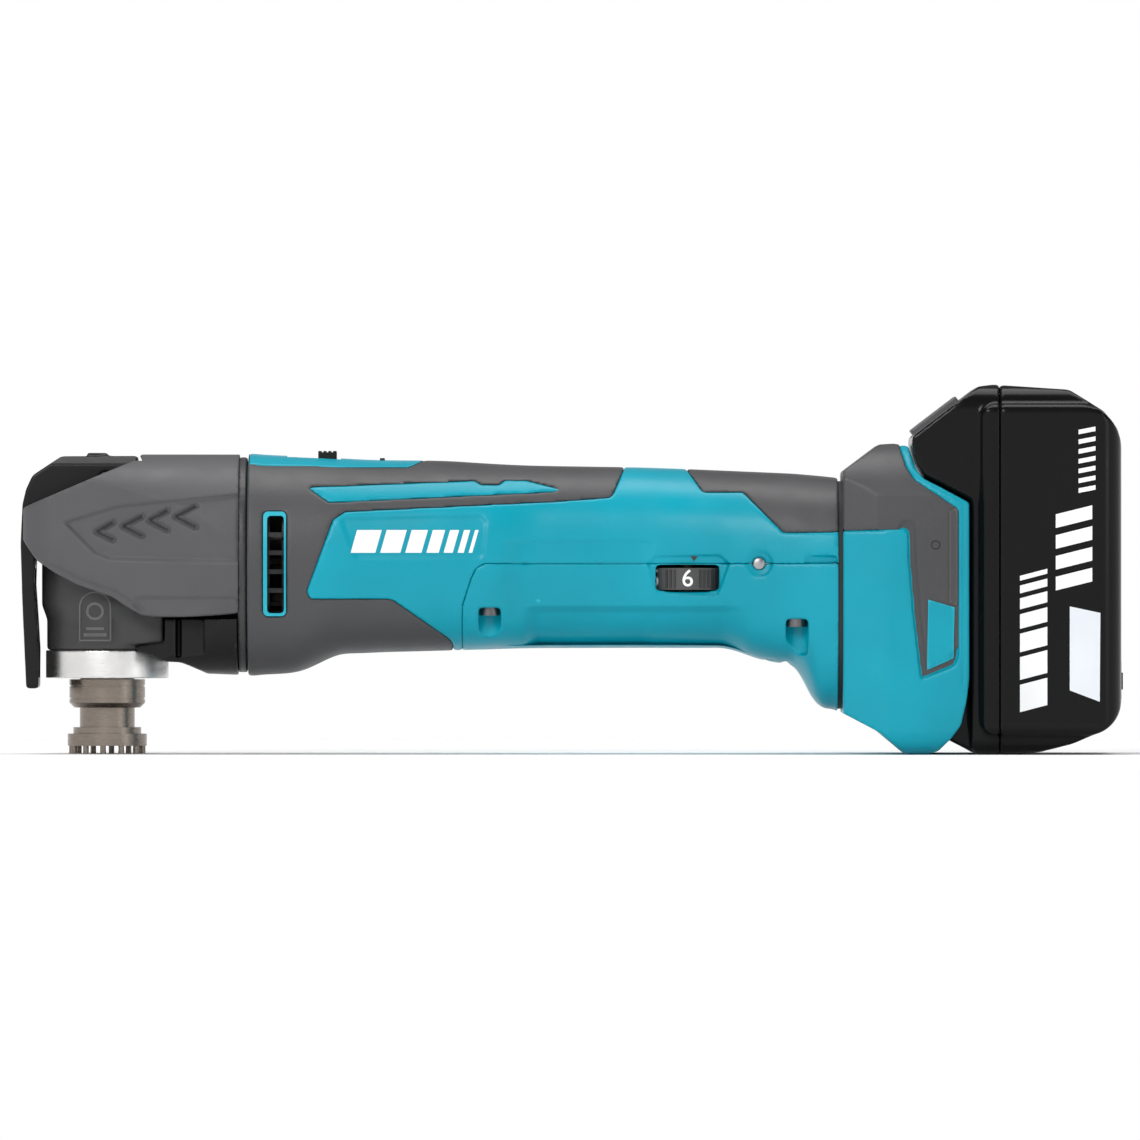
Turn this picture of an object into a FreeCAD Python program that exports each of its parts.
import FreeCAD, Part
import math
import os
import re

import Sketcher
from FreeCAD import Placement, Rotation, Vector

# Cordless oscillating multi-tool, in millimetres.
# +X runs from the tool head back to the battery, +Z is up and the left-hand side is -Y.
# The origin is on the spindle axis, at the face of the flange that an accessory is clamped to.

doc = FreeCAD.newDocument("oscillating_multi_tool")

DIMENSIONS = {
    # motor and handle
    "axis_height": 56.3,
    "wall": 2,
    "grip_skin": 1.8,
    # spindle and its bearings
    "flange_radius": 12.25,
    "flange_height": 3.7,
    "neck_radius": 8.5,
    "shoulder_radius": 11.7,
    "shoulder_low": 11.8,
    "shoulder_high": 20.5,
    "journal_radius": 7.5,
    "upper_journal_radius": 6,
    "spindle_top": 71.3,
    "spindle_bore": 4.1,
    "jaw_room_radius": 4.4,
    "rod_guide_radius": 2.66,
    "pin_circle": 11,
    "pin_radius": 0.9,
    "pin_root_radius": 0.75,
    "pin_length": 2.5,
    "pin_count": 12,
    "lower_bearing_radius": 16,
    "lower_bearing_low": 24,
    "lower_bearing_width": 9,
    "upper_bearing_radius": 12,
    "upper_bearing_low": 65.3,
    "upper_bearing_width": 5.7,
    # gear head
    "collar_radius": 18.95,
    "collar_low": 20.9,
    "column_low": 29.5,
    "column_radius": 18.6,
    "column_top_radius": 20.2,
    "fork_height": 13,
    "fork_gap": 9.5,
    "cavity_half_width": 14.5,
    # crank and motor
    "throw": 0.7,
    "crank_front": 21.4,
    "crank_pin_radius": 3,
    "crank_bearing_radius": 7.5,
    "crank_bearing_width": 5,
    "shaft_radius": 4,
    "shaft_rear_radius": 3,
    "front_bearing_radius": 11,
    "front_bearing_front": 33,
    "front_bearing_width": 7,
    "rear_bearing_radius": 9.5,
    "rear_bearing_front": 113.5,
    "rear_bearing_width": 6,
    "yoke_radius": 23,
    "yoke_wall": 2,
    "yoke_front": 61,
    "yoke_rear": 104,
    "core_radius": 16.8,
    "fan_radius": 25,
    "running_gap": 0.04,
    # lock lever and clamp
    "lever_pivot": 82,
    "lever_hub_radius": 7.7,
    "lever_half_width": 17,
    "lever_pin_radius": 2.5,
    "clamp_travel": 2.5,
    "lever_swing": 95,
    "cam_radius": 5,
    "plunger_radius": 2.6,
    # speed dial
    "dial_place": 179.3,
    "dial_side": -15.6,
    "dial_radius": 13,
    "dial_low": 48.2,
    "dial_width": 6.7,
    # battery
    "battery_split": 275.2,
    "battery_wall": 2.6,
    "rail_half_width": 30.9,
    "cell_radius": 9.15,
    "cell_length": 65,
    "cell_pitch": 19.3,
}

dims = doc.addObject("Spreadsheet::Sheet", "dims")
for line, (alias, size) in enumerate(DIMENSIONS.items(), start=1):
    dims.set(f"A{line}", alias)
    dims.set(f"B{line}", str(size))
    dims.setAlias(f"B{line}", alias)
doc.recompute()

WORDS = re.compile(r"\b(" + "|".join(sorted(DIMENSIONS, key=len, reverse=True)) + r")\b")
AXES = {
    "X": Rotation(Vector(0, 1, 0), 90),
    "Y": Rotation(Vector(1, 0, 0), -90),
    "Z": Rotation(),
}
SUBPARTS = []


def size(alias):
    """A driving dimension, as a number."""
    return float(dims.get(alias))


def bind(obj, prop, expression):
    """Ties a property to an expression in the sheet's aliases."""
    obj.setExpression(prop, WORDS.sub(r"dims.\1", str(expression)))


def name_of(base):
    """A free internal name; the node's name is the Label."""
    return base if doc.getObject(base) is None else base + "_"


def subpart(obj, node):
    """Marks an object as one physical piece, saved under its Label."""
    obj.Label = node
    SUBPARTS.append(obj)
    return obj


def place(obj, x="0", y="0", z="0", turn=None):
    if turn is not None:
        obj.Placement = Placement(Vector(), turn)
    for axis, value in zip("xyz", (x, y, z)):
        bind(obj, f".Placement.Base.{axis}", value)
    return obj


def box(name, x, y, z):
    """A block between two corners; each span is (low, high)."""
    made = doc.addObject("Part::Box", name_of(name))
    for prop, (low, high) in zip(("Length", "Width", "Height"), (x, y, z)):
        bind(made, prop, f"({high}) - ({low})")
    return place(made, x[0], y[0], z[0])


def cylinder(name, radius, low, high, axis="Z", centre=("0", "0")):
    """A round bar along an axis; centre gives the other two coordinates in X, Y, Z order."""
    made = doc.addObject("Part::Cylinder", name_of(name))
    bind(made, "Radius", radius)
    bind(made, "Height", f"({high}) - ({low})")
    spot = list(centre)
    spot.insert("XYZ".index(axis), low)
    return place(made, *spot, turn=AXES[axis])


def fuse(name, *pieces):
    made = doc.addObject("Part::MultiFuse", name_of(name))
    made.Shapes = list(pieces)
    return made


def common(name, *pieces):
    made = doc.addObject("Part::MultiCommon", name_of(name))
    made.Shapes = list(pieces)
    return made


def cut(name, base, *tools):
    made = doc.addObject("Part::Cut", name_of(name))
    made.Base = base
    made.Tool = tools[0] if len(tools) == 1 else fuse(name + "_tools", *tools)
    return made


def copies(name, piece, spots, turn=None):
    """Identical pieces at several spots, as one group of separate solids."""
    links = []
    for order, (x, y, z) in enumerate(spots):
        made = doc.addObject("Part::Compound", name_of(f"{name}_{order}"))
        made.Links = [piece]
        links.append(place(made, x, y, z, turn=turn[order] if turn else None))
    group = doc.addObject("Part::Compound", name_of(name))
    group.Links = links
    return group


def form(name, shape):
    """A free-form solid that no primitive or sketch describes."""
    made = doc.addObject("Part::Feature", name_of(name))
    made.Shape = shape
    return made


def turned(name, profile, axis="Z"):
    """A PartDesign body revolved about Z, or about the motor axis, from (radius, along) corners."""
    body = doc.addObject("PartDesign::Body", name_of(name))
    sketch = body.newObject("Sketcher::SketchObject", name_of(name + "_profile"))
    plane = [f for f in body.Origin.OriginFeatures if f.Role == "XZ_Plane"][0]
    sketch.AttachmentSupport = [(plane, "")]
    sketch.MapMode = "FlatFace"
    pairs = [(r, a) if axis == "Z" else (a, r) for r, a in profile]
    numbers = [tuple(number(v) for v in pair) for pair in pairs]
    for here, there in zip(numbers, numbers[1:] + numbers[:1]):
        sketch.addGeometry(Part.LineSegment(Vector(*here, 0), Vector(*there, 0)), False)
    count = len(pairs)
    for corner in range(count):
        sketch.addConstraint(Sketcher.Constraint("Coincident", corner, 2, (corner + 1) % count, 1))
    for corner, (pair, values) in enumerate(zip(pairs, numbers)):
        for kind, line, value, expression in zip(("DistanceX", "DistanceY"), (-2, -1), values, pair):
            if abs(value) < 1e-9:
                sketch.addConstraint(Sketcher.Constraint("PointOnObject", corner, 1, line))
                continue
            index = sketch.addConstraint(Sketcher.Constraint(kind, -1, 1, corner, 1, value))
            bind(sketch, f"Constraints[{index}]", expression)
    turn = body.newObject("PartDesign::Revolution", name_of(name + "_turned"))
    turn.Profile = sketch
    turn.ReferenceAxis = (sketch, ["V_Axis" if axis == "Z" else "H_Axis"])
    turn.Angle = 360
    if axis == "X":
        place(body, z="axis_height")
    return body


def number(expression):
    """The number that an expression in the sheet's aliases stands for, such as 'wall * 2 - 0.3'."""
    text = WORDS.sub(lambda m: repr(size(m.group(1))), str(expression))
    total, sign = 0.0, 1.0
    for operator, term in re.findall(r"([+-]?)\s*([\d.]+(?:\s*[*/]\s*[\d.]+)*)", text):
        sign = -1.0 if operator == "-" else 1.0
        factors = re.split(r"\s*([*/])\s*", term)
        value = float(factors[0])
        for step, factor in zip(factors[1::2], factors[2::2]):
            value = value * float(factor) if step == "*" else value / float(factor)
        total += sign * value
    return total


# ---------------------------------------------------------------- curves and outlines


def smooth(points):
    """A monotone cubic curve through (place, value) points, as a function of place."""
    xs, ys = zip(*points)
    steps = [(ys[i + 1] - ys[i]) / (xs[i + 1] - xs[i]) for i in range(len(xs) - 1)]
    slopes = [steps[0]]
    for left, right in zip(steps, steps[1:]):
        slopes.append(0.0 if left * right <= 0 else 2 * left * right / (left + right))
    slopes.append(steps[-1])

    def value(x):
        i = max(0, min(len(xs) - 2, sum(1 for k in xs if k <= x) - 1))
        span = xs[i + 1] - xs[i]
        t = (x - xs[i]) / span
        return (
            (2 * t**3 - 3 * t**2 + 1) * ys[i]
            + (t**3 - 2 * t**2 + t) * span * slopes[i]
            + (3 * t**2 - 2 * t**3) * ys[i + 1]
            + (t**3 - t**2) * span * slopes[i + 1]
        )

    return value


def oval(x, half_width, low, high, power):
    """A closed cross-section between an ellipse (power 2) and a rectangle."""
    middle, half_height = (low + high) / 2, (high - low) / 2
    count = 28
    points = []
    for step in range(count):
        angle = 2 * math.pi * step / count
        c, s = math.cos(angle), math.sin(angle)
        y = math.copysign(abs(c) ** (2 / power), c) * half_width
        z = math.copysign(abs(s) ** (2 / power), s) * half_height
        points.append(Vector(x, y, middle + z))
    curve = Part.BSplineCurve()
    steps = [step / count for step in range(count + 1)]
    curve.interpolate(points, PeriodicFlag=True, Parameters=steps)
    return Part.Wire(curve.toShape())


def hull(stations, places, inset=0.0):
    """A lofted solid through (x, half width, low, high, power) stations, shrunk by inset."""
    curves = [smooth([(s[0], s[k]) for s in stations]) for k in range(1, 5)]
    wires = []
    for x in places:
        half_width, low, high, power = (curve(x) for curve in curves)
        wires.append(oval(x, half_width - inset, low + inset, high - inset, power))
    return Part.makeLoft(wires, True, False)


def outline(corners, plane="XZ", level=0.0):
    """A closed wire from (u, v) or (u, v, corner radius) points."""

    def spot(u, v):
        return {"XZ": Vector(u, level, v), "XY": Vector(u, v, level), "YZ": Vector(level, u, v)}[plane]

    count, edges, ends = len(corners), [], []
    for i, corner in enumerate(corners):
        here = spot(*corner[:2])
        radius = corner[2] if len(corner) > 2 else 0
        if not radius:
            ends.append((here, here, None))
            continue
        back = (spot(*corners[i - 1][:2]) - here).normalize()
        ahead = (spot(*corners[(i + 1) % count][:2]) - here).normalize()
        half = back.getAngle(ahead) / 2
        reach = radius / math.tan(half)
        centre = here + (back + ahead).normalize() * (radius / math.sin(half))
        crown = centre + (here - centre).normalize() * radius
        ends.append((here + back * reach, here + ahead * reach, crown))
    for i, (start, stop, crown) in enumerate(ends):
        if crown is not None:
            edges.append(Part.Arc(start, crown, stop).toShape())
        following = ends[(i + 1) % count][0]
        if stop.distanceToPoint(following) > 1e-6:
            edges.append(Part.LineSegment(stop, following).toShape())
    return Part.Wire(edges)


def slab(corners, low, high, plane="XZ", offset=0.0):
    """An outline's face pushed along its plane's normal from low to high, grown by offset."""
    wire = outline(corners, plane, low)
    if offset:
        wire = wire.makeOffset2D(offset)
    along = {"XZ": Vector(0, 1, 0), "XY": Vector(0, 0, 1), "YZ": Vector(1, 0, 0)}[plane]
    return Part.Face(wire).extrude(along * (high - low))


# ---------------------------------------------------------------- shaping forms

MAIN = [
    (43.6, 32.6, 21.7, 90.3, 2.3),
    (54, 32.6, 22.2, 89.7, 2.35),
    (62, 32.4, 23.6, 89.4, 2.4),
    (71, 32.0, 28.0, 88.9, 2.4),
    (84, 31.6, 28.8, 88.3, 2.4),
    (102, 31.2, 29.3, 88.1, 2.5),
    (120, 30.3, 29.8, 87.1, 2.6),
    (131, 28.3, 30.1, 86.6, 2.75),
    (165, 28.2, 30.2, 86.0, 2.75),
    (189, 29.2, 30.2, 85.1, 2.8),
    (203, 31.2, 26.4, 84.5, 2.9),
    (211.6, 33.2, 24.7, 84.1, 3.0),
    (220, 34.8, 12.6, 83.4, 3.2),
    (225.7, 35.4, 10.4, 82.8, 3.3),
]
MAIN_PLACES = [43.6] + list(range(48, 187, 6))
MAIN_PLACES += [190, 196, 201, 205, 209, 212, 214, 216, 218, 220, 222.5, 225.7]
SKIN = size("grip_skin")

main_form = hull(MAIN, MAIN_PLACES)
core_form = hull(MAIN, MAIN_PLACES, SKIN)
inner_form = hull(MAIN, MAIN_PLACES, SKIN + size("wall"))
REACH = 60

# Side-view regions of the handle: soft grip, teal panel, fin, switch plate and lower cover.
LOWER_COVER = [
    (109.8, 20), (110, 43.3), (112.4, 51), (114.4, 55.1), (117, 56.3), (240, 56.3), (240, 0), (109.8, 0),
]
SIDE_PANEL = [
    (74, 72.2, 1.5), (70.2, 69.8, 2), (62, 47.5, 2), (63.3, 45.4, 1), (88.1, 45.4, 4), (106.9, 32.4, 3),
    (107.3, 10), (300, 10), (300, 100), (160.6, 100), (159.8, 85.4), (156.3, 77.3, 1.5), (155, 76.5, 2),
    (140, 75.4),
]
FIN = [
    (62.2, 79.7), (68.8, 75, 0.6), (142.6, 78.5), (129.5, 81.8, 2), (122.9, 81.9, 0.8), (121.4, 80.4, 0.8),
    (115.7, 80.4, 0.8), (113.8, 81.7, 0.8),
]
SWITCH_PLATE = [(44.1, 85.8, 1), (93.1, 85.8, 1), (98.4, 88.2), (98.4, 100), (44.1, 100)]
REAR_GRIP = [
    (178.8, 100), (179.2, 85.1), (184.1, 78.1, 1.5), (196.4, 78.2, 1.5), (208.7, 65.8, 1.5), (240, 66.2),
    (240, 100),
]
VENT_HOLE = [(49.9, 41, 1), (55.1, 41, 1), (55.1, 71, 1), (49.9, 71, 1)]
VENT_RIM = [(48.7, 40.1, 1.5), (55.7, 40.1, 1.5), (55.7, 72.3, 1.5), (48.7, 72.3, 1.5)]


def through(corners, offset=0.0):
    """A side-view region as a solid right across the tool."""
    return slab(corners, -REACH, REACH, "XZ", offset)


def both_sides(corners, near, far, offset=0.0):
    """A side-view region on the two flanks only, between |y| = near and |y| = far."""
    return slab(corners, near, far, "XZ", offset).fuse(slab(corners, -far, -near, "XZ", offset))


def bored(solid, *tools):
    return solid.cut(list(tools))


def brick(x, y, z):
    return Part.makeBox(x[1] - x[0], y[1] - y[0], z[1] - z[0], Vector(x[0], y[0], z[0]))


def rod(radius, low, high, axis="Z", a=0.0, b=0.0):
    """A plain round solid; a and b place it across its axis, in X, Y, Z order."""
    base, along = {
        "X": (Vector(low, a, b), Vector(1, 0, 0)),
        "Y": (Vector(a, low, b), Vector(0, 1, 0)),
        "Z": (Vector(a, b, low), Vector(0, 0, 1)),
    }[axis]
    return Part.makeCylinder(radius, high - low, base, along)


AXIS = size("axis_height")
lower_region = through(LOWER_COVER)
plate_region = slab(SWITCH_PLATE, -16.5, 16.5)
grip_region = bored(
    brick((43, 180), (-REACH, REACH), (0, 120)),
    through(SIDE_PANEL),
    through(FIN),
    both_sides(VENT_RIM, 20, REACH),
    lower_region,
    plate_region,
)

# ---------------------------------------------------------------- handle shells

# Vertical screw pockets, the dial opening, the cross-pin dish and the button slot.
POCKETS = [(118.35, 33, 42.7), (213, 28.2, 39.2)]
DIAL_WINDOW = [(169.5, 48, 1), (189, 48, 1), (189, 55.9, 1), (169.5, 55.9, 1)]
DIAL_DISH = [(169.2, 58.7), (189.3, 58.9), (192.2, 56.3), (188.6, 46.2), (169.5, 46.2), (166.9, 56.3)]
PIN_SPOT = (201.3, 56.3)
SMALL_VENTS = [(203.1, 206.4, 26.7), (208.4, 211.9, 25.6)]


def flank(x, z):
    """Half width of the handle surface at a place in the side view."""
    curves = [smooth([(s[0], s[k]) for s in MAIN]) for k in range(1, 5)]
    half_width, low, high, power = (curve(x) for curve in curves)
    rise = abs(2 * (z - (low + high) / 2) / (high - low))
    return half_width * max(0.0, 1 - rise**power) ** (1 / power)


pocket_cuts = []
pocket_walls = []
for x, low, high in POCKETS:
    y = flank(x, (low + high) / 2)
    for side in (-1, 1):
        tall = rod(3.35, low, high, "Z", x, side * (y - 1.6))
        mouth = brick((x - 3.35, x + 3.35), sorted((side * (y - 1.6), side * REACH)), (low, high))
        pocket_cuts.append(tall.fuse(mouth))
        pocket_walls.append(rod(5.2, low - 1.8, high + 6, "Z", x, side * (y - 3.6)))
screw_heads = [
    (x, side * (flank(x, (low + high) / 2) - 1.6), high) for x, low, high in POCKETS for side in (-1, 1)
]
dial_x, dial_y = size("dial_place"), size("dial_side")
window = slab(DIAL_WINDOW, -REACH, dial_y)
dish = slab(DIAL_DISH, -REACH, -flank(179, 52) + 1.2)
pin_dish = rod(4.05, -REACH, -flank(*PIN_SPOT) + 1.1, "Y", *PIN_SPOT)
pin_dish = pin_dish.fuse(rod(4.05, flank(*PIN_SPOT) - 1.1, REACH, "Y", *PIN_SPOT))
pin_hole = rod(1.85, -REACH, REACH, "Y", *PIN_SPOT)
button_slot = brick((55.8, 72.2), (-6.4, 6.4), (80, 100))
vent_hole = both_sides(VENT_HOLE, 20, REACH)
dial_room = rod(size("dial_radius") + 0.6, 47.6, 55.5, "Z", dial_x, dial_y)
small_vents = [brick((a, b), (-REACH, REACH), (z - 0.5, z + 0.5)) for a, b, z in SMALL_VENTS]
tail_notch = both_sides([(215.5, 56.2), (225.3, 56.2), (225.3, 58.8), (215.5, 58.8, 1)], 33.1, REACH)

# Each skin is what its region holds between the hard core and the outer surface.
grip_zone = grip_region.cut(core_form)
rear_zone = through(REAR_GRIP).cut(core_form)
plate_zone = plate_region.cut(core_form)
subpart(form("front_grip", main_form.common(grip_zone).cut(button_slot)), "front_grip")
subpart(form("rear_grip", main_form.common(rear_zone)), "rear_grip")
subpart(form("switch_plate", main_form.common(plate_zone).cut(button_slot)), "switch_plate")

upper = bored(main_form, inner_form, lower_region, grip_zone, rear_zone, plate_zone)
rib = brick((105, 108), (-26, 26), (60, 80)).common(core_form).cut(rod(23, 100, 110, "X", 0, AXIS))
upper = upper.fuse(rib)
upper = bored(upper, vent_hole, button_slot, window, dish, pin_dish, pin_hole, tail_notch, dial_room)
subpart(form("motor_housing", upper), "motor_housing")

lower = main_form.cut(inner_form).common(lower_region)
for wall in pocket_walls:
    lower = lower.fuse(wall.common(main_form).common(lower_region))
lower = bored(lower, *pocket_cuts)
for x, y, z in screw_heads:
    lower = lower.cut(rod(1.6, z - 0.5, z + 10, "Z", x, y))
lower = bored(lower, window, dish, pin_dish, pin_hole, dial_room, *small_vents)
subpart(form("lower_cover", lower), "lower_cover")

# Rims round the two air inlets beside the fan, and the dark slats set back inside them.
SLATS = [48, 53.8, 59.6, 65.2]
SLAT_BACK = SKIN + 3.4
FRONT_PLACES = [43.6, 48, 54, 60, 66]
rim_band = hull([(x, w + 0.5, low - 0.5, high + 0.5, power) for x, w, low, high, power in MAIN], FRONT_PLACES)
slat_band = hull(MAIN, FRONT_PLACES, 1.3).cut(hull(MAIN, FRONT_PLACES, SLAT_BACK))
frame_band = hull(MAIN, FRONT_PLACES, SKIN + 2.2).cut(hull(MAIN, FRONT_PLACES, SLAT_BACK))
rims = []
slats = []
for side in (-1, 1):
    span = sorted((side * 20, side * REACH))
    rims.append(slab(VENT_RIM, *span).cut(slab(VENT_HOLE, *span)).common(rim_band).cut(main_form))
    frame = slab(VENT_HOLE, *span, offset=1.5).cut(slab(VENT_HOLE, *span, offset=-0.7)).common(frame_band)
    for z in SLATS:
        frame = frame.fuse(brick((50, 55), span, (z - 0.7, z + 0.7)).common(slat_band))
    slats.append(frame)
subpart(form("air_grilles", Part.makeCompound(rims)), "air_grilles")
subpart(form("vent_slats", Part.makeCompound(slats)), "vent_slats")

# ---------------------------------------------------------------- gear head

BOOT_SIDE = [
    (-26.3, 73.2, 2), (8.5, 88.0), (10.2, 90, 1), (41, 90), (41, 41), (33.5, 40.3), (23.9, 39.8),
    (15.7, 39.8),
    (11.3, 40.3), (6.2, 43.2, 4), (2.2, 46, 3), (-2.5, 47.6), (-8.5, 49.7), (-15.7, 53.5), (-21.3, 57.3, 6),
    (-26.3, 64.5, 2),
]
BOOT_PLAN = [(-26.3, -24.8, 12), (8, -28.6, 20), (42, -32.4), (42, 32.4), (8, 28.6, 20), (-26.3, 24.8, 12)]
PIVOT = size("lever_pivot")
HALF = size("lever_half_width")


HEAD = [
    (-30, 32.4, 21.7, 90.1, 3.6),
    (5, 32.4, 21.7, 90.1, 3.1),
    (42, 32.4, 21.7, 90.1, 2.35),
]


def inset_oval(low, high, inset):
    """The barrel's cross-section carried along the head, squarer at the nose, shrunk by inset."""
    count = max(1, round((high - low) / 9))
    return hull(HEAD, [low + (high - low) * step / count for step in range(count + 1)], inset)


boot_form = slab(BOOT_SIDE, -REACH, REACH).common(slab(BOOT_PLAN, -10, 120, "XY"))
boot_form = boot_form.common(inset_oval(-30, 42, 0))

block_form = slab([(13.6, 42.6), (41, 42.6), (41, 86), (13.6, 86)], -REACH, REACH)
block_form = block_form.common(slab(BOOT_PLAN, -10, 120, "XY", -3)).common(inset_oval(10, 42, 3))
column = rod(size("column_radius"), size("column_low"), 40).fuse(rod(size("column_top_radius"), 43.5, 64.5))
column = column.fuse(Part.makeCone(size("column_radius"), size("column_top_radius"), 4.5, Vector(0, 0, 39)))
flat_side = slab([(0, 31.4), (17.7, 31.4, 1.5), (17.7, 46), (0, 46)], -18.2, 18.2)
dome = rod(15.5, 64, 71.5)
tunnel = rod(19.5, 0, 41, "X", 0, AXIS)
flange_ring = hull([(40.8, 31.6, 22.7, 89.2, 2.3), (43.5, 31.6, 22.7, 89.2, 2.3)], [40.8, 43.5])
ears = brick((-4.6, 4.6), (-12.2, 12.2), (71, PIVOT)).fuse(rod(5, -12.2, 12.2, "Y", 0, PIVOT))
arch = slab([(-8.3, 32), (1.7, 32), (1.7, 47.5, 4.9), (-8.3, 47.5, 4.9)], -19.4, -14)
arch = arch.common(rod(19.3, 31, 49))
motor_seat = rod(24, 34, 43.4, "X", 0, AXIS)
gear_outer = column.fuse([block_form, dome, flange_ring, motor_seat, flat_side])
gear_outer = gear_outer.fuse(tunnel.common(slab(BOOT_PLAN, -10, 120, "XY", -3)))
clear_for_lever = rod(12.7, -17.6, 17.6, "Y", 0, PIVOT).cut(brick((-20, 20), (-20, 20), (60, 71.6)))
gear_outer = gear_outer.cut(clear_for_lever).fuse(ears)

fork_room = rod(size("cavity_half_width"), 36, 64.5).fuse(
    brick((0, 27.4), (-14.5, 14.5), (47.5, 65))
)
crank_room = rod(13, 20, size("front_bearing_front"), "X", 0, AXIS)
seats = [
    rod(size("lower_bearing_radius"), 20, 33),
    rod(10.5, 32, 37),
    fork_room,
    crank_room,
    rod(size("upper_bearing_radius"), 64, 71),
    rod(8.2, 70, 72),
    rod(size("front_bearing_radius"), 30, 40, "X", 0, AXIS),
    rod(7, 39, 45, "X", 0, AXIS),
    rod(size("lever_pin_radius"), -20, 20, "Y", 0, PIVOT),
    brick((-6, 6), (-4.7, 4.7), (71.6, 90)),
    brick((1.3, 10), (-12.7, 12.7), (71.8, 79.2)),
]
gear = bored(gear_outer.fuse(arch), *seats)
gear_base = form("gear_casting", gear)
subpart(gear_base, "gear_housing")

slot = brick((-40, 0), (-17.7, 17.7), (20, 100)).fuse(rod(12.7, -17.7, 17.7, "Y", 0, PIVOT))
boot = bored(boot_form, gear_outer, slot)
subpart(form("head_cover", boot), "head_cover")

collar = turned(
    "collar_body",
    [
        ("collar_radius", "collar_low"), ("collar_radius", "column_low"),
        ("lower_bearing_radius", "column_low"), ("lower_bearing_radius", "lower_bearing_low"),
        ("9.4", "lower_bearing_low"), ("9.4", "collar_low"),
    ],
)
subpart(collar, "bearing_collar")

seal = turned(
    "seal_body",
    [("9.4", "21.2"), ("9.4", "23.6"), ("8.85", "23.6"), ("8.85", "21.2")],
)
subpart(seal, "dust_seal")

lower_bearing = turned(
    "lower_bearing_body",
    [
        ("lower_bearing_radius", "lower_bearing_low"),
        ("lower_bearing_radius", "lower_bearing_low + lower_bearing_width"),
        ("journal_radius + running_gap", "lower_bearing_low + lower_bearing_width"),
        ("journal_radius + running_gap", "lower_bearing_low"),
    ],
)
subpart(lower_bearing, "lower_spindle_bearing")

upper_bearing = turned(
    "upper_bearing_body",
    [
        ("upper_bearing_radius", "upper_bearing_low"),
        ("upper_bearing_radius", "upper_bearing_low + upper_bearing_width"),
        ("upper_journal_radius + running_gap", "upper_bearing_low + upper_bearing_width"),
        ("upper_journal_radius + running_gap", "upper_bearing_low"),
    ],
)
subpart(upper_bearing, "upper_spindle_bearing")

# Lamp bracket under the head, with a window for the lamp.
BRACKET_SIDE = [
    (18.2, 39.2), (18.2, 32.4), (6.2, 30.4), (19.2, 26), (23.4, 25.8), (29.3, 23.2), (31.1, 22.3),
    (40.6, 21.9),
    (40.6, 39.2),
]
BRACKET_PLAN = [(5, -14, 3), (20, -24, 6), (40.6, -31.6), (40.6, 31.6), (20, 24, 6), (5, 14, 3)]
bracket = slab(BRACKET_SIDE, -REACH, REACH).common(slab(BRACKET_PLAN, 0, 60, "XY"))
bracket_hollow = inset_oval(0, 42, 3).common(brick((32, 60), (-40, 40), (25.5, 45)))
bracket = bracket.common(inset_oval(0, 42, 0)).cut(bracket_hollow)
bracket = bored(
    bracket,
    gear_outer,
    rod(size("collar_radius") + 0.75, 18, 29.6),
    both_sides([(21.6, 27.5), (23.4, 27), (23.4, 42), (21.6, 42)], 19, REACH),
    both_sides([(23.3, 26.6), (30.5, 24.6), (30.5, 42), (23.3, 42)], 23, REACH),
    brick((21, 28.6), (-9, 9), (20, 29)),
)
subpart(form("lamp_bracket", bracket), "lamp_bracket")
lens = slab([(21, 26.2), (28.6, 23.8), (28.6, 28.6), (21, 28.6)], -9, 9)
subpart(form("lamp_lens", lens), "lamp_lens")

# ---------------------------------------------------------------- spindle and clamp

spindle_body = turned(
    "spindle_turned",
    [
        ("spindle_bore", "0"), ("flange_radius", "0"), ("flange_radius", "flange_height"),
        ("10.5", "flange_height"),
        ("10.5", "5.7"), ("neck_radius", "5.7"), ("neck_radius", "shoulder_low"), ("10.2", "shoulder_low"),
        ("shoulder_radius", "13.3"), ("shoulder_radius", "14.4"), ("11.4", "14.4"), ("11.4", "14.8"),
        ("shoulder_radius", "14.8"), ("shoulder_radius", "18.3"), ("11.4", "18.3"), ("11.4", "18.7"),
        ("shoulder_radius", "18.7"), ("shoulder_radius", "shoulder_high"), ("neck_radius", "shoulder_high"),
        ("neck_radius", "24"), ("journal_radius", "24"), ("journal_radius", "33.4"), ("9", "33.4"),
        ("9", "36.5"), ("8", "36.5"), ("8", "64.6"), ("upper_journal_radius", "64.6"),
        ("upper_journal_radius", "spindle_top"), ("spindle_bore", "spindle_top"), ("spindle_bore", "45"),
        ("rod_guide_radius", "45"), ("rod_guide_radius", "38"), ("jaw_room_radius", "38"),
        ("jaw_room_radius", "22.5"), ("spindle_bore", "22.5"),
    ],
)
pin_spots = []
for order in range(int(size("pin_count"))):
    angle = f"({order} * 360 / pin_count - 5.5)"
    pin_spots.append((f"pin_circle * cos({angle} * 1deg)", f"pin_circle * sin({angle} * 1deg)", "0"))
pin = fuse(
    "drive_pin",
    cylinder("drive_pin_stud", "pin_radius", "-pin_length", "0"),
    cylinder("drive_pin_root", "pin_root_radius", "0", "3"),
)
pins = copies("drive_pin_ring", pin, pin_spots)
subpart(cut("spindle_drilled", spindle_body, pins), "spindle")
subpart(pins, "drive_pins")

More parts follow.
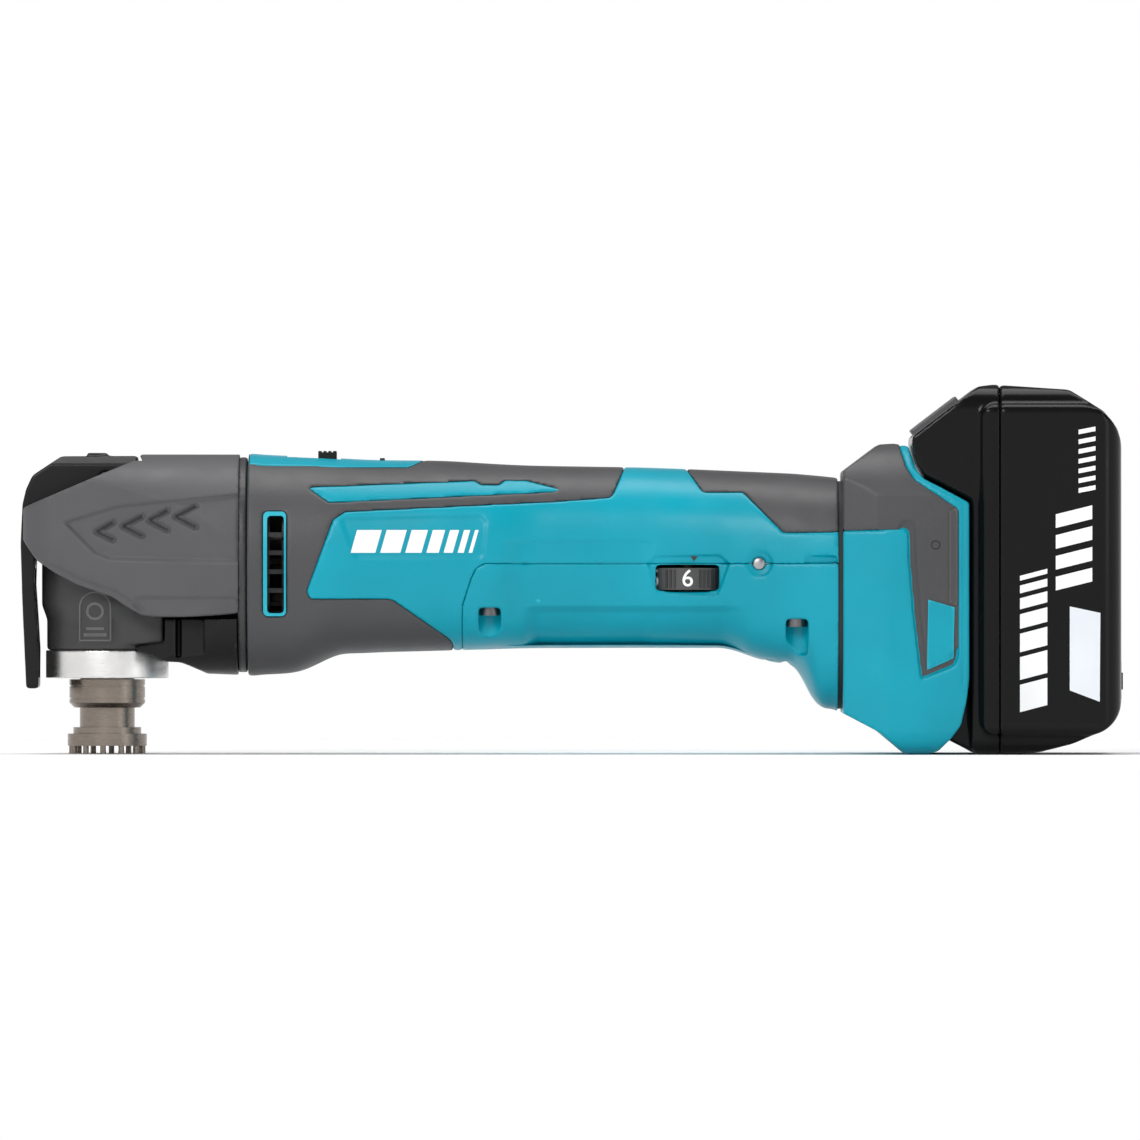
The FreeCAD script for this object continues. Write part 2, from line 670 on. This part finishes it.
fork = fuse(
    "fork_blank",
    cylinder("fork_hub", "12.4", "axis_height - fork_height / 2", "axis_height + fork_height / 2"),
    box(
        "fork_arms", ("5", "26.8"), ("-13", "13"),
        ("axis_height - fork_height / 2", "axis_height + fork_height / 2"),
    ),
)
fork_slot = box(
    "fork_slot", ("13.6", "30"), ("-fork_gap", "fork_gap"), ("axis_height - 7", "axis_height + 7")
)
fork_bore = cylinder("fork_bore", "8", "axis_height - 8", "axis_height + 8")
subpart(cut("fork_cut", fork, fork_slot, fork_bore), "spindle_fork")

rod_body = turned(
    "clamp_rod_turned",
    [
        ("2.8", "25.5"), ("4.3", "25.5"), ("4.3", "37.4"), ("plunger_radius", "37.4"),
        ("plunger_radius", "69.6"),
        ("3.9", "69.6"), ("3.9", "71.2"), ("plunger_radius", "71.2"), ("plunger_radius", "75.1"),
        ("1.4", "76.6"),
        ("0", "76.6"), ("0", "34"), ("2.8", "32.5"),
    ],
)
jaw_slots = fuse(
    "jaw_slots",
    box("jaw_slot_a", ("-5", "5"), ("-0.5", "0.5"), ("20", "31")),
    box("jaw_slot_b", ("-0.5", "0.5"), ("-5", "5"), ("20", "31")),
)
subpart(cut("clamp_rod_slit", rod_body, jaw_slots), "clamp_rod")


def coil(radius, wire, low, high, turns):
    """A round-wire compression spring about the spindle axis."""
    helix = Part.makeHelix((high - low - 2 * wire) / turns, high - low - 2 * wire, radius)
    helix.translate(Vector(0, 0, low + wire))
    start = Vector(radius, 0, low + wire)
    ring = Part.Wire(Part.makeCircle(wire, start, Vector(0, 1, 0.1)))
    return Part.Wire(helix).makePipeShell([ring], True, True)


spring = coil(3.35, 0.5, 45.1, 69.4, 9)
subpart(form("clamp_spring", spring), "clamp_spring")

# ---------------------------------------------------------------- lock lever

LEVER_SIDE = [
    (9.4, 89.5, 0.6), (-13.8, 89.4, 3), (-22.7, 83.5, 4), (-24.7, 79.2, 3), (-25.8, 74.5, 8), (-26.4, 62, 20),
    (-26, 45), (-24.8, 17.7, 1), (-21, 17.7, 1), (-20.9, 30), (-21.5, 40, 6), (-22.2, 50), (-21.9, 63, 6),
    (-19.2, 70.5, 8), (-12, 76.5), (-5, 76), (0, 76), (9.4, 86),
]
blank = slab(LEVER_SIDE, -HALF, HALF).fuse(rod(size("lever_hub_radius"), -HALF, HALF, "Y", 0, PIVOT))
LEVER_FRONT = [
    (17.3, 86.6, 2), (17.3, 66, 10), (12.5, 50, 10), (11, 16, 4), (-11, 16, 4), (-12.5, 50, 10),
    (-17.3, 66, 10),
    (-17.3, 86.6, 2), (-14, 89.9, 2), (14, 89.9, 2),
]
blank = blank.common(slab(LEVER_FRONT, -40, 20, "YZ"))
ear_room = slab([(-15.5, 69), (14, 69), (14, 83.2), (4.2, 85.6), (-4.4, 85.6), (-9.4, 84.6)], -12.7, 12.7)
ear_room = ear_room.fuse(rod(5.5, -12.7, 12.7, "Y", 0, PIVOT))
lever = blank.cut(ear_room).cut(rod(size("lever_pin_radius") + 0.05, -20, 20, "Y", 0, PIVOT))
inner_side = [
    (-19.6, 55, 1), (-23.2, 55, 1), (-23.6, 30, 1), (-22.9, 21, 1), (-19.6, 21, 1),
]
lever = lever.cut(slab(inner_side, -8.5, 8.5))

spiral = []
for order in range(13):
    turn_angle = order * 10.0
    radius = size("cam_radius") + size("clamp_travel") * min(turn_angle, 100) / size("lever_swing")
    heading = math.radians(-90 - 8 + turn_angle)
    spiral.append((radius * math.cos(heading), PIVOT + radius * math.sin(heading)))
spiral += [(-3.5, 88.6), (-3.9, 79), (-1.6, 77.3)]
cam = slab(spiral, -4.2, 4.2).cut(rod(size("lever_pin_radius") + 0.05, -20, 20, "Y", 0, PIVOT))
lever = lever.fuse(cam).fuse(brick((-6, 0), (-5.4, 5.4), (88.9, 90.5)))
subpart(form("lock_lever", lever), "lock_lever")
subpart(
    cylinder(
        "lever_pin", "lever_pin_radius", "-lever_half_width + 0.5", "lever_half_width - 0.5", "Y",
        ("0", "lever_pivot"),
    ),
    "lever_pin",
)

# ---------------------------------------------------------------- motor

shaft = turned(
    "shaft_turned",
    [
        ("0", "26.8"), ("shaft_radius", "26.8"), ("shaft_radius", "110"), ("shaft_rear_radius", "110"),
        ("shaft_rear_radius", "121"), ("0", "121"),
    ],
    "X",
)
crank_pin = cylinder("crank_pin", "crank_pin_radius", "crank_front", "27", "X", ("0", "axis_height + throw"))
subpart(fuse("shaft_and_crank", shaft, crank_pin), "motor_shaft")

crank_bearing = cut(
    "crank_bearing_cut",
    cylinder("crank_bearing_ring", "crank_bearing_radius",
             "crank_front", "crank_front + crank_bearing_width", "X",
             ("0", "axis_height + throw")),
    cylinder("crank_bearing_bore", "crank_pin_radius", "crank_front - 1", "crank_front + 6", "X",
             ("0", "axis_height + throw")),
)
subpart(crank_bearing, "crank_bearing")

balance = cut(
    "balance_cut",
    common(
        "balance_half",
        cylinder("balance_disc", "11", "27.8", "32", "X", ("0", "axis_height")),
        box("balance_side", ("27", "33"), ("-12", "12"), ("axis_height - 12", "axis_height + 3")),
    ),
    cylinder("balance_bore", "shaft_radius", "27", "33", "X", ("0", "axis_height")),
)
subpart(balance, "balance_weight")

front_bearing = turned(
    "front_bearing_body",
    [
        ("shaft_radius + running_gap", "front_bearing_front"),
        ("front_bearing_radius", "front_bearing_front"),
        ("front_bearing_radius", "front_bearing_front + front_bearing_width"),
        ("shaft_radius + running_gap", "front_bearing_front + front_bearing_width"),
    ],
    "X",
)
subpart(front_bearing, "motor_front_bearing")

rear_bearing = turned(
    "rear_bearing_body",
    [
        ("shaft_rear_radius + running_gap", "rear_bearing_front"),
        ("rear_bearing_radius", "rear_bearing_front"),
        ("rear_bearing_radius", "rear_bearing_front + rear_bearing_width"),
        ("shaft_rear_radius + running_gap", "rear_bearing_front + rear_bearing_width"),
    ],
    "X",
)
subpart(rear_bearing, "motor_rear_bearing")

hub = rod(7, 46.2, 57, "X", 0, AXIS).fuse(rod(size("fan_radius"), 54.8, 56.8, "X", 0, AXIS))
blade = brick((47.6, 55), (-0.6, 0.6), (AXIS + 8, AXIS + size("fan_radius")))
for order in range(15):
    piece = blade.copy()
    piece.rotate(Vector(0, 0, AXIS), Vector(1, 0, 0), order * 24)
    hub = hub.fuse(piece)
hub = hub.cut(rod(size("shaft_radius"), 40, 60, "X", 0, AXIS))
subpart(form("cooling_fan", hub), "cooling_fan")

lamination = rod(size("core_radius"), 66, 92, "X", 0, AXIS)
lamination = lamination.cut(rod(size("shaft_radius"), 60, 99, "X", 0, AXIS))
windings = rod(14.6, 61.4, 66, "X", 0, AXIS).fuse(rod(14.6, 92, 97, "X", 0, AXIS))
windings = windings.cut(rod(7, 60, 99, "X", 0, AXIS))
for order in range(12):
    notch = brick((65, 93), (-2, 2), (AXIS + 9.5, AXIS + 14.6))
    mouth = brick((65, 93), (-1, 1), (AXIS + 14, AXIS + 18))
    for piece in (notch, mouth):
        piece.rotate(Vector(0, 0, AXIS), Vector(1, 0, 0), order * 30)
    lamination = bored(lamination, notch, mouth)
    bar = brick((65.9, 92.1), (-1.9, 1.9), (AXIS + 9.8, AXIS + 14.2))
    bar.rotate(Vector(0, 0, AXIS), Vector(1, 0, 0), order * 30)
    windings = windings.fuse(bar)
subpart(form("armature_core", lamination), "armature_core")
subpart(form("armature_windings", windings), "armature_windings")

commutator = rod(8, 98, 109, "X", 0, AXIS).cut(rod(size("shaft_radius"), 90, 115, "X", 0, AXIS))
for order in range(24):
    groove = brick((97, 110), (-0.2, 0.2), (AXIS + 7, AXIS + 9))
    groove.rotate(Vector(0, 0, AXIS), Vector(1, 0, 0), order * 15)
    commutator = commutator.cut(groove)
subpart(form("commutator", commutator), "commutator")

can = cut(
    "can_cut",
    cylinder("can_outer", "yoke_radius", "yoke_front", "yoke_rear", "X", ("0", "axis_height")),
    cylinder(
        "can_inner", "yoke_radius - yoke_wall", "yoke_front - 1", "yoke_rear + 1", "X",
        ("0", "axis_height"),
    ),
)
subpart(can, "motor_can")

magnet_ring = rod(21, 64, 95, "X", 0, AXIS).cut(rod(17.6, 60, 99, "X", 0, AXIS))
magnets = magnet_ring.cut(brick((60, 99), (-40, 40), (AXIS - 8, AXIS + 8)))
subpart(form("field_magnets", magnets), "field_magnets")

end_bell = rod(22.7, 104, 112, "X", 0, AXIS).fuse(rod(12, 112, 119.5, "X", 0, AXIS))
end_bell = bored(
    end_bell,
    rod(9.6, 103, 113.5, "X", 0, AXIS),
    rod(size("rear_bearing_radius"), 113.5, 125, "X", 0, AXIS),
    rod(20.8, 103, 109, "X", 0, AXIS).cut(rod(12.6, 103, 109, "X", 0, AXIS)),
    brick((103, 109.5), (-21, 21), (AXIS - 3.6, AXIS + 3.6)),
)
subpart(form("end_bell", end_bell), "end_bell")

holders = []
brushes = []
for side in (-1, 1):
    body = brick((100, 108.4), sorted((side * 10, side * 20.4)), (AXIS - 3.5, AXIS + 3.5))
    holders.append(body.cut(brick((101.6, 106.8), (-30, 30), (AXIS - 2.1, AXIS + 2.1))))
    brushes.append(brick((101.6, 106.8), sorted((side * 8.3, side * 18)), (AXIS - 2.1, AXIS + 2.1)))
subpart(form("brush_holders", Part.makeCompound(holders)), "brush_holders")
subpart(form("carbon_brushes", Part.makeCompound(brushes)), "carbon_brushes")

# ---------------------------------------------------------------- controls and electronics

button = fuse(
    "button_blank",
    box("button_cap", ("65.3", "71"), ("-5.6", "5.6"), ("83.7", "91.1")),
    box("button_base", ("58", "81"), ("-7", "7"), ("82.1", "83.8")),
)
subpart(button, "slide_button")
link = fuse(
    "link_blank",
    box("link_bar", ("68", "142"), ("-3", "3"), ("80.6", "82.1")),
    box("link_head", ("136", "142"), ("-5", "5"), ("80.6", "82.1")),
)
subpart(link, "switch_link")
power_switch = fuse(
    "switch_blank",
    box("switch_case", ("128", "150"), ("-9", "9"), ("62", "79")),
    box("switch_track", ("126", "148"), ("-5", "5"), ("79", "80.2")),
    box("switch_tag_a", ("150", "155"), ("-6", "-5.2"), ("66", "72")),
    box("switch_tag_b", ("150", "155"), ("5.2", "6"), ("66", "72")),
)
subpart(power_switch, "power_switch")

board = fuse(
    "board_blank",
    box("board_plate", ("126", "166"), ("-18", "18"), ("40", "41.6")),
    box("board_sink", ("129", "146"), ("-16", "-4"), ("41.6", "52")),
    box("board_chip", ("150", "160"), ("-14", "-4"), ("41.6", "44")),
    cylinder("board_capacitor_a", "5", "41.6", "56", "Z", ("136", "8")),
    cylinder("board_capacitor_b", "4", "41.6", "52", "Z", ("150", "8")),
)
subpart(board, "controller_board")

dial_spot = ("dial_place", "dial_side")
dial = rod(size("dial_radius"), size("dial_low"), size("dial_low") + size("dial_width"), "Z", dial_x, dial_y)
dial = dial.cut(rod(2.5, 40, 60, "Z", dial_x, dial_y))
subpart(form("speed_dial", dial), "speed_dial")
potentiometer = fuse(
    "potentiometer_blank",
    box("potentiometer_case", ("dial_place - 8", "dial_place + 8"), ("dial_side - 4", "dial_side + 8"),
        ("40.6", "46.5")),
    cylinder("potentiometer_shoulder", "4", "46.5", "47.8", "Z", dial_spot),
    cylinder("potentiometer_shaft", "2.44", "47.8", "57", "Z", dial_spot),
)
subpart(potentiometer, "dial_potentiometer")

pin_reach = flank(*PIN_SPOT) - 0.8
cross_pin = rod(1.85, -pin_reach, pin_reach, "Y", *PIN_SPOT)
subpart(form("cross_pin", cross_pin), "cross_pin")

screw = fuse(
    "screw_blank",
    cylinder("screw_head", "3", "-2.4", "0"),
    cylinder("screw_shank", "1.6", "0", "9"),
)
drive = cut("screw_cut", screw, cylinder("screw_drive", "1.4", "-2.5", "-1"))
spots = [tuple(f"{value:.3f}" for value in spot) for spot in screw_heads]
subpart(copies("housing_screws", drive, spots), "housing_screws")

# ---------------------------------------------------------------- rear housing

REAR_SIDE = [
    (227.1, 10.2), (227.1, 84.6), (238.2, 93, 2), (243, 93.3, 1), (247.4, 92.4, 1), (249.5, 85.4, 2),
    (251.8, 82.4, 2), (256.5, 80, 3), (265.8, 75, 0.8), (265.8, 20.3, 3), (265, 14, 3), (263.3, 6.7, 3),
    (260.4, 2.6, 2), (256.3, -1.5, 2), (252.5, -2.5, 1), (246.4, -2.5, 1), (238.2, 4.4, 3),
]
REAR_PLAN = [
    (227.1, -35.6), (240, -38.6, 20), (266, -38.6, 1.5), (266, 38.6, 1.5), (240, 38.6, 20), (227.1, 35.6),
]
REAR_FRONT = [(-38.8, -2.5, 9), (38.8, -2.5, 9), (38.8, 93.3, 22), (-38.8, 93.3, 22)]
REAR_SOFT = [
    (227, 66.4), (246.7, 66.7, 1), (247, 57.4), (248.5, 39.7), (250.8, 20.5, 1), (261.3, 24.8, 2),
    (262.6, 28),
    (262.6, 73, 2), (254.4, 78.4, 3), (249, 82, 3), (246.6, 86, 2), (245, 91, 2), (243.6, 100), (227, 100),
]


def three_views(side, plan, front, inset=0.0):
    """The solid whose side, top and front views are the given outlines, shrunk by inset."""
    solid = slab(side, -REACH, REACH, "XZ", -inset)
    return solid.common([slab(plan, -20, 130, "XY", -inset)]).common([slab(front, 180, 330, "YZ", -inset)])


def rear_views(inset=0.0):
    return three_views(REAR_SIDE, REAR_PLAN, REAR_FRONT, inset)


rear_form = rear_views()
rear_skin = rear_form.cut(rear_views(1.5))
rear_soft = rear_skin.common(through(REAR_SOFT))
hollow = rear_views(3.2).common(brick((220, 247.4), (-REACH, REACH), (-10, 100)))
recess = brick((250.6, 270), (-31.2, 31.2), (3, 100)).fuse(brick((258, 270), (-31.2, 31.2), (-10, 3.1)))
rail_lips = brick((256, 259.5), (27.5, 31.3), (3, 74)).fuse(brick((256, 259.5), (-31.3, -27.5), (3, 74)))
cable_hole = brick((220, 240), (-16, 16), (40, 72))
rear_soft = rear_soft.cut(recess)
rear_shell = bored(rear_form, rear_soft, hollow, recess, cable_hole).fuse(rail_lips)
rear_shell = rear_shell.cut(brick((240, 251), (-18, 18), (12.7, 33)))
REAR_SCREWS = [(233, 70), (233, 22), (246, 8)]
for x, z in REAR_SCREWS:
    post = rod(4.4, -33, 34, "Y", x, z).common(rear_form)
    rear_shell = rear_shell.fuse(post)
for x, z in REAR_SCREWS:
    rear_shell = bored(rear_shell, rod(3.2, 31, 60, "Y", x, z), rod(1.6, 10, 32, "Y", x, z))
    rear_soft = rear_soft.cut(rod(3.2, 31, 60, "Y", x, z))
left_half = brick((200, 300), (-REACH, 0), (-20, 120))
right_half = brick((200, 300), (0, REACH), (-20, 120))
subpart(form("rear_housing_left", rear_shell.common(left_half)), "rear_housing_left")
subpart(form("rear_housing_right", rear_shell.common(right_half)), "rear_housing_right")
subpart(form("rear_overmold", rear_soft), "rear_overmold")

rear_screws = [rod(2.9, 31, 33.4, "Y", x, z).fuse(rod(1.6, 12, 31, "Y", x, z)) for x, z in REAR_SCREWS]
rear_screws = [one.cut(rod(1.4, 32, 34, "Y", x, z)) for one, (x, z) in zip(rear_screws, REAR_SCREWS)]
subpart(form("rear_screws", Part.makeCompound(rear_screws)), "rear_screws")

tail = [(225.7, 35.4, 10.4, 82.8, 3.3), (227.1, 35.4, 10.4, 82.8, 3.3)]
isolator = hull(tail, [225.7, 227.1], 1).cut(hull(tail, [225.7, 227.1], 5))
subpart(form("rear_isolator", isolator), "rear_isolator")

block = fuse(
    "block_blank",
    box("block_body", ("240", "250.6"), ("-18", "18"), ("12.7", "33")),
    box("block_back", ("237.7", "240"), ("-15", "15"), ("14", "31")),
)
subpart(block, "terminal_block")
blades = [brick((250.6, 262.4), (y - 0.5, y + 0.5), (14, 31)) for y in (-13, 0, 13)]
subpart(form("terminal_blades", Part.makeCompound(blades)), "terminal_blades")

lead_parts = []
for y in (-7.0, 7.0):
    route = [(238.9, y, 32.3), (238.9, y, 50), (232, y, 61), (172, y, 61), (164, y, 53), (164, y, 42.9)]
    points = [Vector(*spot) for spot in route]
    lead = Part.makeSphere(1.2, points[0])
    for start, stop in zip(points, points[1:]):
        run = Part.makeCylinder(1.2, start.distanceToPoint(stop), start, stop - start)
        lead = lead.fuse(run).fuse(Part.makeSphere(1.2, stop))
    lead_parts.append(lead)
subpart(form("power_leads", Part.makeCompound(lead_parts)), "power_leads")

# ---------------------------------------------------------------- battery

BATTERY_SIDE = [
    (248.4, 95.4, 0.8), (268.6, 110.8, 2), (273.2, 111.4, 3), (296.7, 109.8, 3),
    (307.4, 103.1, 4), (311.5, 98, 3),
    (312.8, 93.9, 3), (312.8, 17.6, 3), (311.5, 10.5, 4), (305.3, 4.1, 4), (297.7, 0.8, 6), (287.5, -1.8, 6),
    (272.2, -2.5), (268.2, -2.5, 1), (266.6, -0.6), (266.6, 75.7), (256.9, 80.9, 3),
    (252.3, 83.3, 2), (250.3, 86.2, 2),
    (249.2, 89.4), (248.2, 93),
]
BATTERY_PLAN = [(230, -34.6), (312.8, -34.6, 8), (312.8, 34.6, 8), (230, 34.6)]
BATTERY_FRONT = [(-34.6, -2.5, 5), (34.6, -2.5, 5), (34.6, 111.4, 8), (-34.6, 111.4, 8)]
PANEL_SIDE = [(269.4, 3.4, 5), (269.4, 105.5, 5), (312.8, 105.5, 14), (312.8, 3.4, 11)]
PANEL_PLAN = [(269.4, -37.5, 2.5), (312.8, -37.5, 8), (312.8, 37.5, 8), (269.4, 37.5, 2.5)]
PANEL_FRONT = [(-37.5, 3.4, 2.7), (37.5, 3.4, 2.7), (37.5, 105.5, 2.7), (-37.5, 105.5, 2.7)]
RAIL_SIDE = [
    (252.1, 3.5, 1), (258.4, 3.5, 1), (260.5, 1.5), (265.1, -0.8), (268, -2.4), (268, 84.5), (252.1, 84.5),
]
TOE, HEEL = Vector(248.4, 0, 95.4), Vector(268.6, 0, 110.8)
SLOPE = (HEEL - TOE).normalize()
LIFT = Vector(-SLOPE.z, 0, SLOPE.x)


def on_slope(low, high, deep, proud):
    """Side-view corners of a block on the battery's sloping face."""
    corners = []
    for along, out in ((low, deep), (high, deep), (high, proud), (low, proud)):
        spot = TOE + SLOPE * along + LIFT * out
        corners.append((spot.x, spot.z))
    return corners


def battery_views(inset=0.0):
    """The narrower body of the pack with its two broad side panels."""
    body = three_views(BATTERY_SIDE, BATTERY_PLAN, BATTERY_FRONT, inset)
    panel = three_views(PANEL_SIDE, PANEL_PLAN, PANEL_FRONT, inset)
    return body.fuse(panel)


battery_form = battery_views()
battery_hollow = battery_views(size("battery_wall"))
rail = slab(RAIL_SIDE, -size("rail_half_width"), size("rail_half_width"))
rail = bored(
    rail,
    battery_form,
    brick((255.6, 259.9), (27.1, 40), (-10, 90)),
    brick((255.6, 259.9), (-40, -27.1), (-10, 90)),
    brick((254.4, 270), (-24, 24), (37, 79)),
)
for y in (-13, 0, 13):
    rail = rail.cut(brick((250, 263.6), (y - 1.5, y + 1.5), (-10, 33)))
seat = slab(on_slope(-1, 25, -5.4, -2.9), -16, 16).common(battery_form)
latch_room = slab(on_slope(0.6, 23.6, -2.9, 6), -14.4, 14.4)
gauge_hole = brick((309.4, 320), (-13, 13), (14.5, 26))
battery_shell = battery_form.cut(battery_hollow).fuse(seat).fuse(rail)
battery_shell = bored(battery_shell, latch_room, gauge_hole, brick((262, 270), (-22, 22), (38, 78)))
fore = brick((200, size("battery_split")), (-REACH, REACH), (-20, 130))
subpart(form("battery_front_case", battery_shell.common(fore)), "battery_front_case")
subpart(form("battery_rear_case", battery_shell.cut(fore)), "battery_rear_case")

cell = cylinder("cell", "cell_radius", "-cell_length / 2", "cell_length / 2", "Y")
cell_spots = [
    (f"281.2 + {column} * 18.8", "0", f"15.8 + {row} * cell_pitch") for column in (0, 1) for row in range(5)
]
subpart(copies("battery_cells", cell, cell_spots), "battery_cells")
straps = [
    brick((273, 305), sorted((side * 32.5, side * 32.8)), (15.8 + row * 19.3 - 4, 15.8 + row * 19.3 + 4))
    for side in (-1, 1)
    for row in range(5)
]
subpart(form("cell_straps", Part.makeCompound(straps)), "cell_straps")

pack_board = fuse(
    "pack_board_blank",
    box("pack_board_plate", ("264.4", "266"), ("-21.6", "21.6"), ("38.4", "77.6")),
    box("pack_board_chip", ("266", "268"), ("-6", "6"), ("52", "64")),
)
subpart(pack_board, "battery_board")

latch = slab(on_slope(1, 18.4, -2.6, 1.8), -14, 14)
for order in range(5):
    ridge = 4 + order * 2.8
    latch = latch.cut(slab(on_slope(ridge, ridge + 1.2, 1.3, 3), -11, 11))
subpart(form("latch_button", latch), "latch_button")

gauge = cut(
    "gauge_cut",
    box("gauge_plate", ("309.4", "313.3"), ("-13", "13"), ("14.5", "26")),
    box("gauge_pocket", ("310.3", "320"), ("-11", "-3.4"), ("17", "23")),
)
subpart(gauge, "gauge_panel")
subpart(box("gauge_button", ("311.2", "313.8"), ("-10.7", "-3.7"), ("17.4", "22.6")), "gauge_button")

# ---------------------------------------------------------------- save

doc.recompute()
for obj in doc.Objects:
    bad = [state for state in obj.State if state in ("Invalid", "Error")]
    if bad:
        raise RuntimeError(f"{obj.Label}: {bad}")
os.makedirs("parts", exist_ok=True)
for obj in SUBPARTS:
    if obj.Shape.isNull() or not obj.Shape.isValid():
        raise RuntimeError(f"{obj.Label}: shape is not sound")
    obj.Shape.exportStep(f"parts/{obj.Label}.step")
print(len(SUBPARTS), "parts written")
